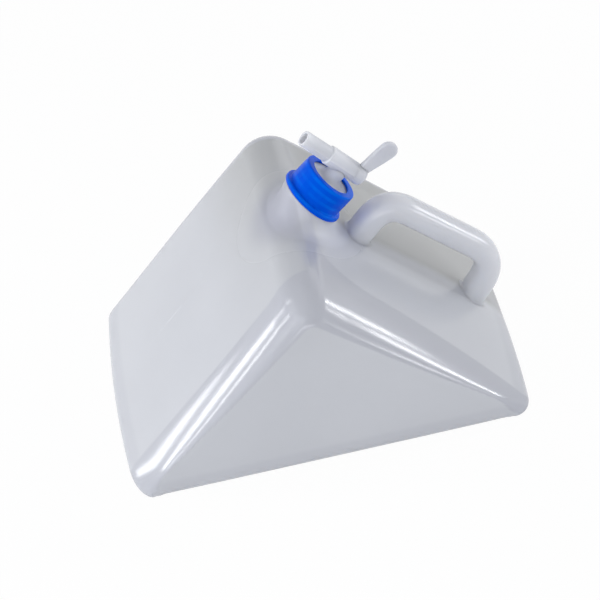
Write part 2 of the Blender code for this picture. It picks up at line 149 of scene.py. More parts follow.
# Upright strips on both sides draw the highlights of the bends; cards and the box overhead fill in
lamps = {
    "leftWide": {"azimuth": 166, "height": 17, "away": 1.5, "size": (0.24, 0.40), "power": 3.8},
    "leftNarrow": {"azimuth": -177, "height": 21, "away": 1.5, "size": (0.13, 0.44), "power": 2.2},
    "leftLow": {"azimuth": 150, "height": 4, "away": 1.5, "size": (0.16, 0.30), "power": 1.5},
    "leftTall": {"azimuth": 160, "height": 45, "away": 1.5, "size": (0.15, 0.60), "power": 1.2},
    "leftTallNarrow": {"azimuth": -176, "height": 48, "away": 1.5, "size": (0.07, 0.60), "power": 0.4},
    "leftCard": {"azimuth": -158, "height": 10, "away": 0.95, "size": (0.60, 0.40), "power": 0.4},
    "rightBack": {"azimuth": 16.4, "height": 18, "away": 1.5, "size": (0.10, 0.22), "power": 1.5},
    "rightFront": {"azimuth": 5.0, "height": 14, "away": 1.5, "size": (0.15, 0.34), "power": 3.4},
    "rightEdge": {"azimuth": -25, "height": 14, "away": 1.5, "size": (0.50, 0.12), "power": 2.2},
    "rightCard": {"azimuth": 46, "height": 26, "away": 1.6, "size": (1.40, 0.90), "power": 3.0},
    "capFill": {"azimuth": -138, "height": 38, "away": 1.2, "size": (0.90, 0.70), "power": 2.6},
    "topBox": {"azimuth": -150, "height": 74, "away": 1.8, "size": (2.60, 2.20), "power": 6.8},
    "frontCard": {"azimuth": -100, "height": 8, "away": 1.8, "size": (1.20, 0.40), "power": 6.6},
}
lampAim = (0, 0, 0.10)
lampTint = (0.97, 0.98, 1.0)


def makeLamps():
    for name, s in lamps.items():
        data = bpy.data.lights.new(name, "AREA")
        data.shape = "RECTANGLE"
        data.size, data.size_y = s["size"]
        data.energy = s["power"]
        data.color = lampTint
        turn, lift = math.radians(s["azimuth"]), math.radians(s["height"])
        way = Vector((math.cos(turn) * math.cos(lift), math.sin(turn) * math.cos(lift), math.sin(lift)))
        lamp = bpy.data.objects.new(name, data)
        lamp.location = Vector(lampAim) + way * s["away"]
        lamp.rotation_euler = (-way).to_track_quat("-Z", "Y").to_euler()
        scene.collection.objects.link(lamp)


makeWorld()
makeFloor()
makeLamps()
print("room, lamps and camera are set")


# shared shader groups

def groupOf(name, inputs, outputs):
    group = bpy.data.node_groups.new(name, "ShaderNodeTree")
    for label, value in inputs.items():
        socket = group.interface.new_socket(label, in_out="INPUT", socket_type="NodeSocketFloat")
        socket.default_value = value
    for label in outputs:
        group.interface.new_socket(label, in_out="OUTPUT", socket_type="NodeSocketFloat")
    return group, group.nodes.new("NodeGroupInput"), group.nodes.new("NodeGroupOutput")


clouding = {"detail": 3.0, "rough": 0.45, "from": 0.32, "to": 0.68, "peelDetail": 2.0}


# Slow clouding of blown film: a mask for its thicker places and a fine orange peel height
def makeMilkGroup():
    s = clouding
    group, given, out = groupOf("milkyFilm", {"Cloud Scale": 9.0, "Peel Scale": 420.0}, ["Cloud", "Peel"])
    place = addNode(group, "ShaderNodeTexCoord", {}).outputs["Object"]
    cloud = addNode(group, "ShaderNodeTexNoise", {
        "Vector": place, "Scale": given.outputs["Cloud Scale"], "Detail": s["detail"],
        "Roughness": s["rough"]})
    spread = addNode(group, "ShaderNodeMapRange", {
        "Value": cloud.outputs["Fac"], "From Min": s["from"], "From Max": s["to"]},
        interpolation_type="SMOOTHSTEP")
    peel = addNode(group, "ShaderNodeTexNoise", {
        "Vector": place, "Scale": given.outputs["Peel Scale"], "Detail": s["peelDetail"]})
    setInputs(group, out, {"Cloud": spread.outputs["Result"], "Peel": peel.outputs["Fac"]})
    return group


scuffing = {"stretch": (1.0, 0.22, 1.6), "turn": (0.3, 0.7, 0.4), "detail": 6.0, "rough": 0.7,
            "from": 0.58, "to": 0.74}


# Faint handling marks: stretched noise cut to thin streaks
def makeScuffGroup():
    s = scuffing
    group, given, out = groupOf("handlingScuffs", {"Scale": 60.0, "Amount": 0.3}, ["Scuff"])
    place = addNode(group, "ShaderNodeTexCoord", {}).outputs["Object"]
    stretch = addNode(group, "ShaderNodeMapping", {
        "Vector": place, "Scale": s["stretch"], "Rotation": s["turn"]})
    streak = addNode(group, "ShaderNodeTexNoise", {
        "Vector": stretch.outputs["Vector"], "Scale": given.outputs["Scale"], "Detail": s["detail"],
        "Roughness": s["rough"]})
    cut = addNode(group, "ShaderNodeMapRange", {
        "Value": streak.outputs["Fac"], "From Min": s["from"], "From Max": s["to"]})
    scuff = addMath(group, "MULTIPLY", cut.outputs["Result"], given.outputs["Amount"])
    setInputs(group, out, {"Scuff": scuff})
    return group


milkGroup = makeMilkGroup()
scuffGroup = makeScuffGroup()


# finishes

finishes = {
    "bodyFilm": {"thin": (0.585, 0.597, 0.632), "thick": (0.610, 0.622, 0.656), "clouds": 7.0, "peel": 260.0,
                 "bump": 0.005, "rough": 0.155, "roughSpread": 0.03, "scuff": 0.02, "glow": 0.22,
                 # bend, far and shade are painted shade tones
                 "reach": 0.010, "bend": (0.500, 0.510, 0.556), "far": (0.405, 0.409, 0.406),
                 "shade": (0.365, 0.373, 0.432), "matt": 0.28},
    "gripFilm": {"thin": (0.595, 0.607, 0.642), "thick": (0.625, 0.637, 0.670), "clouds": 12.0, "peel": 260.0,
                 "bump": 0.03, "rough": 0.20, "roughSpread": 0.03, "scuff": 0.02, "glow": 0.80,
                 "reach": 0.026},
    "innerFilm": {"thin": (0.540, 0.550, 0.585), "thick": (0.600, 0.610, 0.645), "clouds": 9.0, "peel": 260.0,
                  "bump": 0.03, "rough": 0.26, "roughSpread": 0.04, "scuff": 0.03, "glow": 0.0,
                  "reach": 0.010},
    "tapMilk": {"thin": (0.560, 0.574, 0.620), "thick": (0.615, 0.628, 0.670), "clouds": 40.0, "peel": 700.0,
                "bump": 0.02, "rough": 0.38, "roughSpread": 0.05, "scuff": 0.03, "glow": 0.55,
                # the edge tone is a painted highlight along the mould edges
                "reach": 0.008, "edgeHighlight": (0.740, 0.750, 0.780)},
    "washerRubber": {"thin": (0.60, 0.60, 0.58), "thick": (0.68, 0.68, 0.66), "clouds": 60.0, "peel": 900.0,
                     "bump": 0.08, "rough": 0.62, "roughSpread": 0.08, "scuff": 0.05, "glow": 0.0,
                     "reach": 0.002},
}
milky = {"ior": 1.50, "glowTint": (1.0, 0.95, 0.9), "bumpHeight": 0.0006}


# Milky moulded plastic: clouded colour, uneven gloss, orange peel and a soft glow from inside.
# Painted masks lay painted shade over it in the bends, on the far side and round the neck, and a painted
# highlight along the tap's mould edges. The matt mask takes the gloss off round the neck.
def milkyPlastic(name):
    s = finishes[name]
    mat, tree = newMaterial(name)
    milk = addNode(tree, "ShaderNodeGroup", {"Cloud Scale": s["clouds"], "Peel Scale": s["peel"]},
                   node_tree=milkGroup)
    scuffs = addNode(tree, "ShaderNodeGroup", {"Amount": s["scuff"]}, node_tree=scuffGroup)
    colour = mixColours(tree, milk.outputs["Cloud"], (*s["thin"], 1), (*s["thick"], 1))
    # The far, shade and bend masks lay painted shade over the colour; the tap's edge mask lays a painted
    # highlight
    for label in ("far", "shade", "bend", "edgeHighlight"):
        if label in s:
            mask = addNode(tree, "ShaderNodeAttribute", {}, attribute_name=label)
            colour = mixColours(tree, mask.outputs["Fac"], colour, (*s[label], 1))
    rough = addMath(tree, "MULTIPLY_ADD", milk.outputs["Cloud"], s["roughSpread"], s["rough"])
    rough = addMath(tree, "ADD", rough, scuffs.outputs["Scuff"])
    if "matt" in s:
        mask = addNode(tree, "ShaderNodeAttribute", {}, attribute_name="matt")
        rough = addMath(tree, "MULTIPLY_ADD", mask.outputs["Fac"], s["matt"], rough)
    bump = addNode(tree, "ShaderNodeBump", {
        "Height": milk.outputs["Peel"], "Strength": s["bump"], "Distance": milky["bumpHeight"]})
    setInputs(tree, tree.nodes["Principled BSDF"], {
        "IOR": milky["ior"], "Subsurface Weight": s["glow"], "Subsurface Radius": milky["glowTint"],
        "Subsurface Scale": s["reach"], "Base Color": colour, "Roughness": rough,
        "Normal": bump.outputs["Normal"]})
    return mat


blueCap = {"deep": (0.0002, 0.085, 0.680), "pale": (0.0004, 0.145, 0.760), "clouds": 55.0, "peel": 600.0,
           "bump": 0.05, "bumpHeight": 0.0005, "rough": 0.26, "ior": 1.16, "shineTint": (0.03, 0.35, 1.0),
           "glow": 0.18, "glowTint": (0.2, 0.5, 1.0), "reach": 0.004, "threadPitch": 0.006,
           "threadFrom": -0.3, "threadTo": 0.9, "threadShare": 0.85, "scuffScale": 220.0, "scuff": 0.02}


# Translucent blue: the thread behind the wall shows as slanting bands, paler where the wall is thin
def bluePlastic():
    s = blueCap
    mat, tree = newMaterial("blueTranslucent")
    place = addNode(tree, "ShaderNodeTexCoord", {}).outputs["Object"]
    split = addNode(tree, "ShaderNodeSeparateXYZ", {0: place}).outputs
    angle = addMath(tree, "ARCTAN2", split["Y"], split["X"])
    climb = addMath(tree, "MULTIPLY", angle, s["threadPitch"] / (2 * math.pi))
    along = addMath(tree, "SUBTRACT", split["Z"], climb)
    wave = addMath(tree, "SINE", addMath(tree, "MULTIPLY", along, 2 * math.pi / s["threadPitch"]))
    band = addNode(tree, "ShaderNodeMapRange", {
        "Value": wave, "From Min": s["threadFrom"], "From Max": s["threadTo"], "To Max": s["threadShare"]},
        interpolation_type="SMOOTHSTEP")
    milk = addNode(tree, "ShaderNodeGroup", {"Cloud Scale": s["clouds"], "Peel Scale": s["peel"]},
                   node_tree=milkGroup)
    blend = addMath(tree, "MULTIPLY", band.outputs["Result"], milk.outputs["Cloud"])
    colour = mixColours(tree, blend, (*s["deep"], 1), (*s["pale"], 1))
    scuffs = addNode(tree, "ShaderNodeGroup", {"Scale": s["scuffScale"], "Amount": s["scuff"]},
                     node_tree=scuffGroup)
    rough = addMath(tree, "ADD", scuffs.outputs["Scuff"], s["rough"])
    bump = addNode(tree, "ShaderNodeBump", {
        "Height": milk.outputs["Peel"], "Strength": s["bump"], "Distance": s["bumpHeight"]})
    setInputs(tree, tree.nodes["Principled BSDF"], {
        "IOR": s["ior"], "Specular Tint": (*s["shineTint"], 1), "Subsurface Weight": s["glow"],
        "Subsurface Radius": s["glowTint"], "Subsurface Scale": s["reach"], "Base Color": colour,
        "Roughness": rough, "Normal": bump.outputs["Normal"]})
    return mat


bodyFinish = milkyPlastic("bodyFilm")
innerFinish = milkyPlastic("innerFilm")
gripFinish = milkyPlastic("gripFilm")
tapFinish = milkyPlastic("tapMilk")
washerFinish = milkyPlastic("washerRubber")
blueFinish = bluePlastic()
print("finishes are made")


# mesh helpers

weld = 0.000005   # points closer than this become one


# Makes an object from plain points and faces, smooth but for edges above the sharp angle.
# It rides on its body, if it has one.
def meshObject(name, points, faces, finish, body, place=None, turn=None, *, sharp):
    mesh = bpy.data.meshes.new(name)
    work = bmesh.new()
    verts = [work.verts.new(p) for p in points]
    for f in faces:
        work.faces.new([verts[i] for i in f])
    bmesh.ops.remove_doubles(work, verts=work.verts, dist=weld)
    bmesh.ops.dissolve_degenerate(work, edges=work.edges, dist=weld / 5)
    bmesh.ops.recalc_face_normals(work, faces=work.faces)
    work.to_mesh(mesh)
    work.free()
    mesh.shade_smooth()
    mesh.set_sharp_from_angle(angle=math.radians(sharp))
    mesh.materials.append(finish)
    item = bpy.data.objects.new(name, mesh)
    scene.collection.objects.link(item)
    if place:
        item.location, item.rotation_euler = place, turn
    if body:
        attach(item, body)
    return item


# Quads between neighbouring rings of points
def ringFaces(rings, count, closed=True, start=0):
    faces = []
    last = count if closed else count - 1
    for row in range(rings - 1):
        a = start + row * count
        b = a + count
        for i in range(last):
            k = (i + 1) % count
            faces.append((a + i, b + i, b + k, a + k))
    return faces


# Faces of a piece whose points come after the first base points
def shifted(faces, base):
    return [tuple(base + i for i in f) for f in faces]


cornerShare = 0.49   # of a corner's shorter side, the most that its rounding takes


# A line through corners of radius and level, each one rounded by its own radius
def roundedLine(corners, radii, steps):
    line = []
    for i, (corner, r) in enumerate(zip(corners, radii)):
        here = Vector(corner)
        if r == 0:
            line.append(tuple(here))
            continue
        back = Vector(corners[i - 1]) - here
        on = Vector(corners[i + 1]) - here
        r = min(r, back.length * cornerShare, on.length * cornerShare)
        back.normalize()
        on.normalize()
        for k in np.linspace(0, 1, steps + 1):
            line.append(tuple(here + back * r * (1 - k) ** 2 + on * r * k ** 2))
    return line


# Points and faces of a line of radius and level turned about Z
def turnedPoints(line, steps):
    points = []
    for r, z in line:
        for i in range(steps):
            a = 2 * math.pi * i / steps
            points.append((r * math.cos(a), r * math.sin(a), z))
    return points, ringFaces(len(line), steps)


# Halves spans of numbers round by round, down to where a test begins to hold
def narrow(low, high, holds, rounds=36):
    for _ in range(rounds):
        middle = (low + high) / 2
        over = holds(middle)
        low, high = np.where(over, low, middle), np.where(over, middle, high)
    return low


# film body

film = {"slopeEdge": 0.209, "length": 0.238, "wall": 0.0010, "rimHeight": 0.0075, "ridgeFillet": 0.0255,
        "cornerFillet": 0.004, "leftReach": 0.035, "rightReach": 0.051, "rightReachFoot": 0.017,
        "bendDepth": 0.023, "bendDepthFoot": 0.003, "rimBendDepth": 0.006, "backBend": 0.0205,
        "backBendFoot": 0.0110, "creaseEnd": 0.88, "rimBulge": 0.0038, "rightTuck": 0.0020,
        "panelBelly": 0.003, "gableRimBulge": 0.0010, "gableBelly": 0.003, "crest": 0.0035,
        "crestWidth": 0.085, "crestRound": 0.002, "foldWidth": 0.0075, "foldFlat": 0.0008,
        "returnHeight": 0.004, "crownHeight": 0.040, "gap": 0.0003, "rayShares": (0.2, 1.4),
        "leastSpread": 0.000001, "holeMargin": 0.0015, "holeDepth": 0.03, "holeBack": 0.007,
        "rowPower": 1.25, "rows": 150, "along": 136, "across": 108, "foldRows": 18}
tentHeight = film["slopeEdge"] / math.sqrt(2)
ridgeLevel = film["rimHeight"] + tentHeight
filmTop = ridgeLevel - film["foldWidth"] * math.sqrt(2)
slopeTurn = (0, math.radians(45), 0)


# The greater of two distances, rounded off where both come near zero
def joinFillet(first, second, radius):
    a = np.maximum(first + radius, 0)
    b = np.maximum(second + radius, 0)
    both = np.sqrt(a ** 2 + b ** 2) - radius
    return np.where((first > -radius) & (second > -radius), both, np.maximum(first, second))


# Distances off the roof and off the gables, and how far the bend between them reaches
def filmParts(points, inset):
    s = film
    x, y, z = points.T
    length = s["length"] / 2 - inset
    height = ridgeLevel - inset * math.sqrt(2)
    across = np.clip(1 - (y / length) ** 2, 0, 1)
    down = np.clip((height - z) / (height - s["rimHeight"]), 0, 1)
    swell = s["rimBulge"] * across * down ** 2 + s["panelBelly"] * across * np.sin(math.pi * down)
    fall = np.clip(1 - np.hypot(y, s["crestRound"]) / s["crestWidth"], 0, 1)
    crest = s["crest"] * fall * (1 - (2 * down - 1) ** 4)
    right = (x + z - height) / math.sqrt(2) - swell - crest + s["rightTuck"] * down ** 2
    left = (-x + z - height) / math.sqrt(2) - swell
    wide = np.clip(1 - (x / tentHeight) ** 4, 0, 1)
    gable = np.abs(y) - length - wide * (s["gableRimBulge"] * down ** 2
                                         + s["gableBelly"] * np.sin(math.pi * down))
    roof = joinFillet(left, right, max(s["ridgeFillet"] - inset, s["cornerFillet"]))
    toRight = np.clip(0.5 + x / (2 * s["ridgeFillet"]), 0, 1)
    rightReach = s["rightReachFoot"] + (s["rightReach"] - s["rightReachFoot"]) * (1 - down ** 2)
    front = s["leftReach"] + (rightReach - s["leftReach"]) * toRight
    atRim = np.clip((down - s["creaseEnd"]) / (1 - s["creaseEnd"]), 0, 1)
    frontDepth = (s["bendDepthFoot"] + (s["bendDepth"] - s["bendDepthFoot"]) * (1 - down)
                  + s["rimBendDepth"] * atRim ** 2)
    back = s["backBendFoot"] + (s["backBend"] - s["backBendFoot"]) * (1 - down ** 2)
    reach = np.maximum(np.where(y < 0, front, back) - inset, s["cornerFillet"])
    depth = np.maximum(np.where(y < 0, frontDepth, back) - inset, s["cornerFillet"])
    return roof, gable, reach, depth


# Below zero inside the rounded tent, inset from its outside
def filmDistance(points, inset=0.0):
    roof, gable, reach, depth = filmParts(points, inset)
    along = np.maximum(gable + reach, 0) / reach
    under = np.maximum(roof + depth, 0) / depth
    spread = np.maximum(along ** 2 + under ** 2, film["leastSpread"])
    size = (depth * under ** 2 + reach * along ** 2) / spread
    both = (np.sqrt(spread) - 1) * size
    return np.where((gable > -reach) & (roof > -depth), both, np.maximum(roof, gable))


def softStep(values, low, high):
    k = np.clip((values - low) / (high - low), 0, 1)
    return k * k * (3 - 2 * k)


marks = {"bendEdge": 0.10, "ridgeFrom": 0.0092, "ridgeTo": 0.0208, "ridgeEdge": 0.0026,
         "ridgeCorner": 0.030, "ridgeLow": 0.06, "rimBand": 0.013, "rimSpread": 0.2, "rimShade": 0.35,
         "farShadeEdge": 0.007, "farShadeFade": 0.03, "gableFade": 0.009, "topShade": 0.80, "topLow": 0.085,
         "topHigh": 0.150, "topFront": 0.2, "topEnds": 0.10, "topFade": (0.012, 0.03), "capNear": 0.020,
         "capOff": 0.050, "shadeFade": (0.002, 0.024), "mattNear": 0.026, "mattOff": 0.075}


# Masks on the film, all painted shade but matt: bend in the bends, also on the ridge and along the rim; far
# on the back half of the handle slope and high on the other slope, more so to the back; shade round the neck,
# where matt takes the gloss off
def markFilmShadeAndMatt(item):
    s = marks
    mesh = item.data
    points = np.empty(len(mesh.vertices) * 3)
    mesh.vertices.foreach_get("co", points)
    points = points.reshape(-1, 3)
    x, y, z = points.T
    roof, gable, reach, depth = filmParts(points, 0.0)
    inBend = gable + reach
    ridgeBand = np.minimum(x - s["ridgeFrom"], s["ridgeTo"] - x)
    ridgeBand = np.where((z > s["ridgeLow"]) & (y < 0), ridgeBand, -1)
    # Painted shade in the bends and along the ridge
    shadedBand = np.where(x > s["ridgeFrom"], joinFillet(inBend, ridgeBand, s["ridgeCorner"]), inBend)
    bend = softStep(shadedBand, 0, s["ridgeEdge"]) * softStep(roof + depth, 0, s["bendEdge"] * depth)
    # Painted shade along the rim, where the film rolls into the fold
    rimLow, rimHigh = s["rimBand"] * (1 - s["rimSpread"]), s["rimBand"] * (1 + s["rimSpread"])
    bend = np.maximum(bend, s["rimShade"] * (1 - softStep(z, rimLow, rimHigh)))
    # Painted shade on the back half of the handle slope
    far = softStep(y, -s["farShadeEdge"], s["farShadeEdge"]) * softStep(x, 0.0, s["farShadeFade"])
    far = far * (1 - softStep(gable, -s["gableFade"], 0.0))
    # Painted shade high on the other slope, more so to the back
    backward = s["topFront"] + (1 - s["topFront"]) * softStep(y, -s["topEnds"], s["topEnds"])
    top = s["topShade"] * softStep(z, s["topLow"], s["topHigh"]) * backward
    top = top * (1 - softStep(x, *s["topFade"]))
    # Painted shade round the neck; matt takes the gloss off there
    off = np.linalg.norm(points - np.array(capFoot), axis=1)
    shade = (1 - softStep(off, s["capNear"], s["capOff"])) * (1 - softStep(x, *s["shadeFade"]))
    matt = 1 - softStep(off, s["mattNear"], s["mattOff"])
    for label, values in (("bend", bend), ("far", np.maximum(far, top)), ("shade", shade), ("matt", matt)):
        layer = mesh.attributes.new(label, "FLOAT", "POINT")
        layer.data.foreach_set("value", values)


# Moves points along rays from the middle of the rim onto the rounded tent
def pullOn(points, inset):
    middle = np.array([0, 0, film["rimHeight"]])
    ray = points - middle
    low, high = film["rayShares"]
    share = narrow(np.full(len(ray), low), np.full(len(ray), high),
                   lambda share: filmDistance(middle + ray * share[:, None], inset) > 0)
    return middle + ray * share[:, None]


# Outward normals of the tent near the points
def slopesOf(points, inset=0.0):
    step = 0.00002
    rows = [filmDistance(points + step * axis, inset) - filmDistance(points - step * axis, inset)
            for axis in np.eye(3)]
    normal = np.stack(rows, 1)
    return normal / np.linalg.norm(normal, axis=1)[:, None]


# Brings points that are near the film onto it
def settle(points, lift=0.0, rounds=8):
    points = np.array(points, float)
    for _ in range(rounds):
        points = points - slopesOf(points) * (filmDistance(points) - lift)[:, None]
    return points


# Points round the tent at a level, before they are pulled on, closer together towards its corners
def tentRing(level, inset, along, across):
    length = film["length"] / 2 - inset
    width = ridgeLevel - inset * math.sqrt(2) - level
    a = np.sin(math.pi / 2 * np.linspace(-1, 1, along + 1))[:-1]
    b = np.sin(math.pi / 2 * np.linspace(-1, 1, across + 1))[:-1]
    ring = [(width, length * k, level) for k in a]
    ring += [(-width * k, length, level) for k in b]
    ring += [(-width, -length * k, level) for k in a]
    ring += [(width * k, -length, level) for k in b]
    return np.array(ring)


# Rings of the tent from high to low, closer together at the top where the power is above 1
def filmRings(inset, low, high, rows, power, along, across):
    shares = (np.arange(rows + 1) / rows) ** power
    return [pullOn(tentRing(high - (high - low) * k, inset, along, across), inset) for k in shares]


# The rolled fold under the rim, flat where it stands on the table
def foldRings(outer, inner):
    drop = (film["rimHeight"] + film["foldFlat"]) * 4 / 3
    ways = []
    for ring, inset in ((outer, 0.0), (inner, film["foldWidth"])):
        normal = slopesOf(ring, inset)
        down = normal * normal[:, 2:] - np.array([0, 0, 1])
        down /= np.linalg.norm(down, axis=1)[:, None]
        ways.append(ring - down / down[:, 2:] * drop)
    rings = []
    for k in np.arange(1, film["foldRows"]) / film["foldRows"]:
        ring = (outer * (1 - k) ** 3 + ways[0] * 3 * k * (1 - k) ** 2
                + ways[1] * 3 * k * k * (1 - k) + inner * k ** 3)
        ring[:, 2] = np.maximum(ring[:, 2], 0)
        rings.append(ring)
    return rings


# Gives a sheet its wall; its open edges stay crisp
def thicken(item, wall):
    mesh = item.data
    used = np.empty(len(mesh.loops), np.int32)
    mesh.loops.foreach_get("edge_index", used)
    crisp = np.empty(len(mesh.edges), bool)
    mesh.edges.foreach_get("use_edge_sharp", crisp)
    mesh.edges.foreach_set("use_edge_sharp", crisp | (np.bincount(used, minlength=len(crisp)) == 1))
    mod = item.modifiers.new("wall", "SOLIDIFY")
    mod.thickness = wall
    mod.offset = -1
    mod.use_even_offset = False


# The neck stands astride the ridge: its place is measured down the handle slope
neck = {"place": 0.0169, "leanBack": 5.5, "collar": 0.0137, "collarRadius": 0.0241, "collarStep": 0.0008,
        "footRadius": 0.0346, "footLevel": -0.0200, "lean": 0.0225, "blendUp": 0.0140, "blendOut": 0.0150,
        "flow": 0.0, "spread": 1.0, "blendSteps": 18, "radius": 0.0185, "bore": 0.0163,
        "boreStart": -0.006, "top": 0.0311, "edges": [0, 0.0006, 0.0006, 0.0006, 0.0007, 0],
        "edgeSteps": 5, "wallRows": (0.35, 0.7), "threadHeight": 0.0015, "steps": 120}
placeDown = neck["place"] / math.sqrt(2)
capFoot = (placeDown, 0.0, ridgeLevel - placeDown)
capTurn = (0, math.radians(45 + neck["leanBack"]), 0)


# From a frame that stands at a foot and is turned about Y to the shared frame
def toWorld(points, foot, turn=slopeTurn):
    p = np.asarray(points, float)
    c, s = math.cos(turn[1]), math.sin(turn[1])
    return np.stack([foot[0] + c * p[:, 0] + s * p[:, 2], foot[1] + p[:, 1],
                     foot[2] + c * p[:, 2] - s * p[:, 0]], 1)


def makeUpperFilm():
    s = film
    roof = filmRings(0, s["rimHeight"], ridgeLevel, s["rows"], s["rowPower"], s["along"], s["across"])
    footRing = tentRing(s["rimHeight"], s["foldWidth"], s["along"], s["across"])
    topRing = tentRing(s["rimHeight"] + s["returnHeight"], s["foldWidth"], s["along"], s["across"])
    innerFoot = pullOn(footRing, s["foldWidth"])
    rings = roof + foldRings(roof[-1], innerFoot) + [innerFoot, pullOn(topRing, s["foldWidth"])]
    points = np.concatenate(rings)
    # the neck's bore is open through the film
    c, d = math.cos(capTurn[1]), math.sin(capTurn[1])
    rel = points - np.array(capFoot)
    across = np.stack([c * rel[:, 0] - d * rel[:, 2], rel[:, 1]], 1)
    off = d * rel[:, 0] + c * rel[:, 2]
    inBore = np.linalg.norm(across, axis=1) < neck["bore"] + s["holeMargin"]
    inBore &= (off > -s["holeDepth"]) & (points[:, 0] > -s["holeBack"])
    faces = [f for f in ringFaces(len(rings), len(rings[0])) if not any(inBore[i] for i in f)]
    item = meshObject("bodyFilmUpper", points, faces, bodyFinish, "root", sharp=75)
    markFilmShadeAndMatt(item)
    thicken(item, s["wall"])
    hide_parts("upper_half")


makeUpperFilm()
print("upper film is made")


innerBands = {"foot": film["rimHeight"] + film["returnHeight"] + film["gap"],
              "levels": [0.0, 0.16, 0.34, 0.53, 0.71, 0.86, 1.0], "crownFrom": 4, "along": 64,
              "across": 56, "rows": 8, "topRows": 24, "topPower": 1.3, "levelled": 0.6, "widest": 1.6,
              "rounds": 40, "topDrop": 0.000001}


# A ring brought out or in by a share of its width, at new levels
def levelled(ring, levels, share):
    return np.stack([ring[:, 0] * share, ring[:, 1] * share, levels], 1)


# Slides the rings of a band out or in until they lie level, so that the bands meet as the film turns over;
# in the top band the levelling fades out before the ridge
def levelRings(rings, low, high, inset, topBand):
    means = [ring[:, 2].mean() for ring in rings]
    for n, ring in enumerate(rings):
        part = (means[n] - means[-1]) / (means[0] - means[-1])
        share = max(0.0, 1 - part / innerBands["levelled"]) if topBand else 1.0
        if share == 0:
            continue
        goal = ring[:, 2] + (low + (high - low) * part - ring[:, 2]) * share
        share = narrow(np.zeros(len(ring)), np.full(len(ring), innerBands["widest"]),
                       lambda k: filmDistance(levelled(ring, goal, k), inset) > 0, innerBands["rounds"])
        rings[n] = levelled(ring, goal, share)
    return rings


# The lower half, pushed up inside the upper one, made as bands
def makeLowerFilm():
    s = innerBands
    inset = film["foldWidth"]
    crown = filmTop - film["crownHeight"]
    top = pullOn(tentRing(filmTop - s["topDrop"], inset, s["along"], s["across"]), inset)[:, 2].max()
    foot = s["foot"]
    cuts = [foot + (filmTop - foot) * k for k in s["levels"]]
    cuts[s["crownFrom"]] = crown
    for n in range(len(cuts) - 1):
        low, high = cuts[n], cuts[n + 1]
        topBand = n == len(cuts) - 2
        rows, power = (s["topRows"], s["topPower"]) if topBand else (s["rows"], 1.0)
        rings = filmRings(inset, low, high, rows, power, s["along"], s["across"])
        rings = levelRings(rings, low, high, inset, topBand)
        faces = ringFaces(len(rings), len(rings[0]))
        item = meshObject("bodyFilmLower%d" % (n + 1), np.concatenate(rings), faces, innerFinish,
                          None, sharp=75)
        thicken(item, film["wall"])
        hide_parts("lower_half_crown" if n >= s["crownFrom"] else "lower_half_walls")
        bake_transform(item)


makeLowerFilm()
print("lower film is made")


# neck, moulded in one with the film

footing = {"mostUp": 0.8, "lift": 0.000015, "sink": 0.00002}


# Rings of a soft fillet from a wall down onto the film; the wall runs from upper to lower points.
# The settings say how far it reaches up and out, and how much it flows on with the wall or spreads.
def footBlend(upper, lower, s):
    share = narrow(np.zeros(len(upper)), np.ones(len(upper)),
                   lambda k: filmDistance(upper + (lower - upper) * k[:, None]) < 0)
    meet = upper + (lower - upper) * share[:, None]
    run = np.linalg.norm(meet - upper, axis=1)
    wallWay = (upper - meet) / run[:, None]
    above = meet + wallWay * np.minimum(s["blendUp"], run * footing["mostUp"])[:, None]
    normal = slopesOf(meet)
    way = -wallWay
    way = way - normal * np.sum(way * normal, axis=1)[:, None]
    middle = meet.mean(axis=0)
    radial = meet - middle
    radial = radial - normal * np.sum(radial * normal, axis=1)[:, None]
    radial /= np.linalg.norm(radial, axis=1)[:, None]
    way = way * s["flow"] + radial * s["spread"]
    way /= np.linalg.norm(way, axis=1)[:, None]
    aside = settle(meet + way * s["blendOut"])
    rings = []
    for k in np.linspace(0, 1, s["blendSteps"] + 1):
        ring = above * (1 - k) ** 2 + meet * 2 * k * (1 - k) + aside * k * k
        near = filmDistance(ring) < footing["lift"]
        if near.any():
            ring[near] = settle(ring[near], footing["lift"])
        rings.append(ring)
    rings[-1] = settle(rings[-1], -footing["sink"])
    return above, rings


thread = {"pitch": 0.006, "turns": 1.75, "rootWidth": 0.0024, "crestWidth": 0.0012, "sunk": 0.0003,
          "least": 0.05, "runOuts": 10}


# A thread with tapered ends, wound round Z; steps are those of one turn
def threadPoints(root, crest, start, steps):
    s = thread
    base = root - math.copysign(s["sunk"], crest - root)
    total = round(s["turns"] * steps)
    runOut = steps // s["runOuts"]
    points = []
    for i in range(total + 1):
        a = 2 * math.pi * i / steps
        level = start + s["pitch"] * i / steps
        grow = min(1.0, i / runOut, (total - i) / runOut)
        top = root + (crest - root) * max(grow, s["least"])
        for r, side in ((base, -s["rootWidth"]), (top, -s["crestWidth"]), (top, s["crestWidth"]),
                        (base, s["rootWidth"])):
            points.append((r * math.cos(a), r * math.sin(a), level + side / 2))
    faces = ringFaces(total + 1, 4)
    faces.append((3, 2, 1, 0))
    faces.append(tuple(total * 4 + k for k in range(4)))
    return points, faces


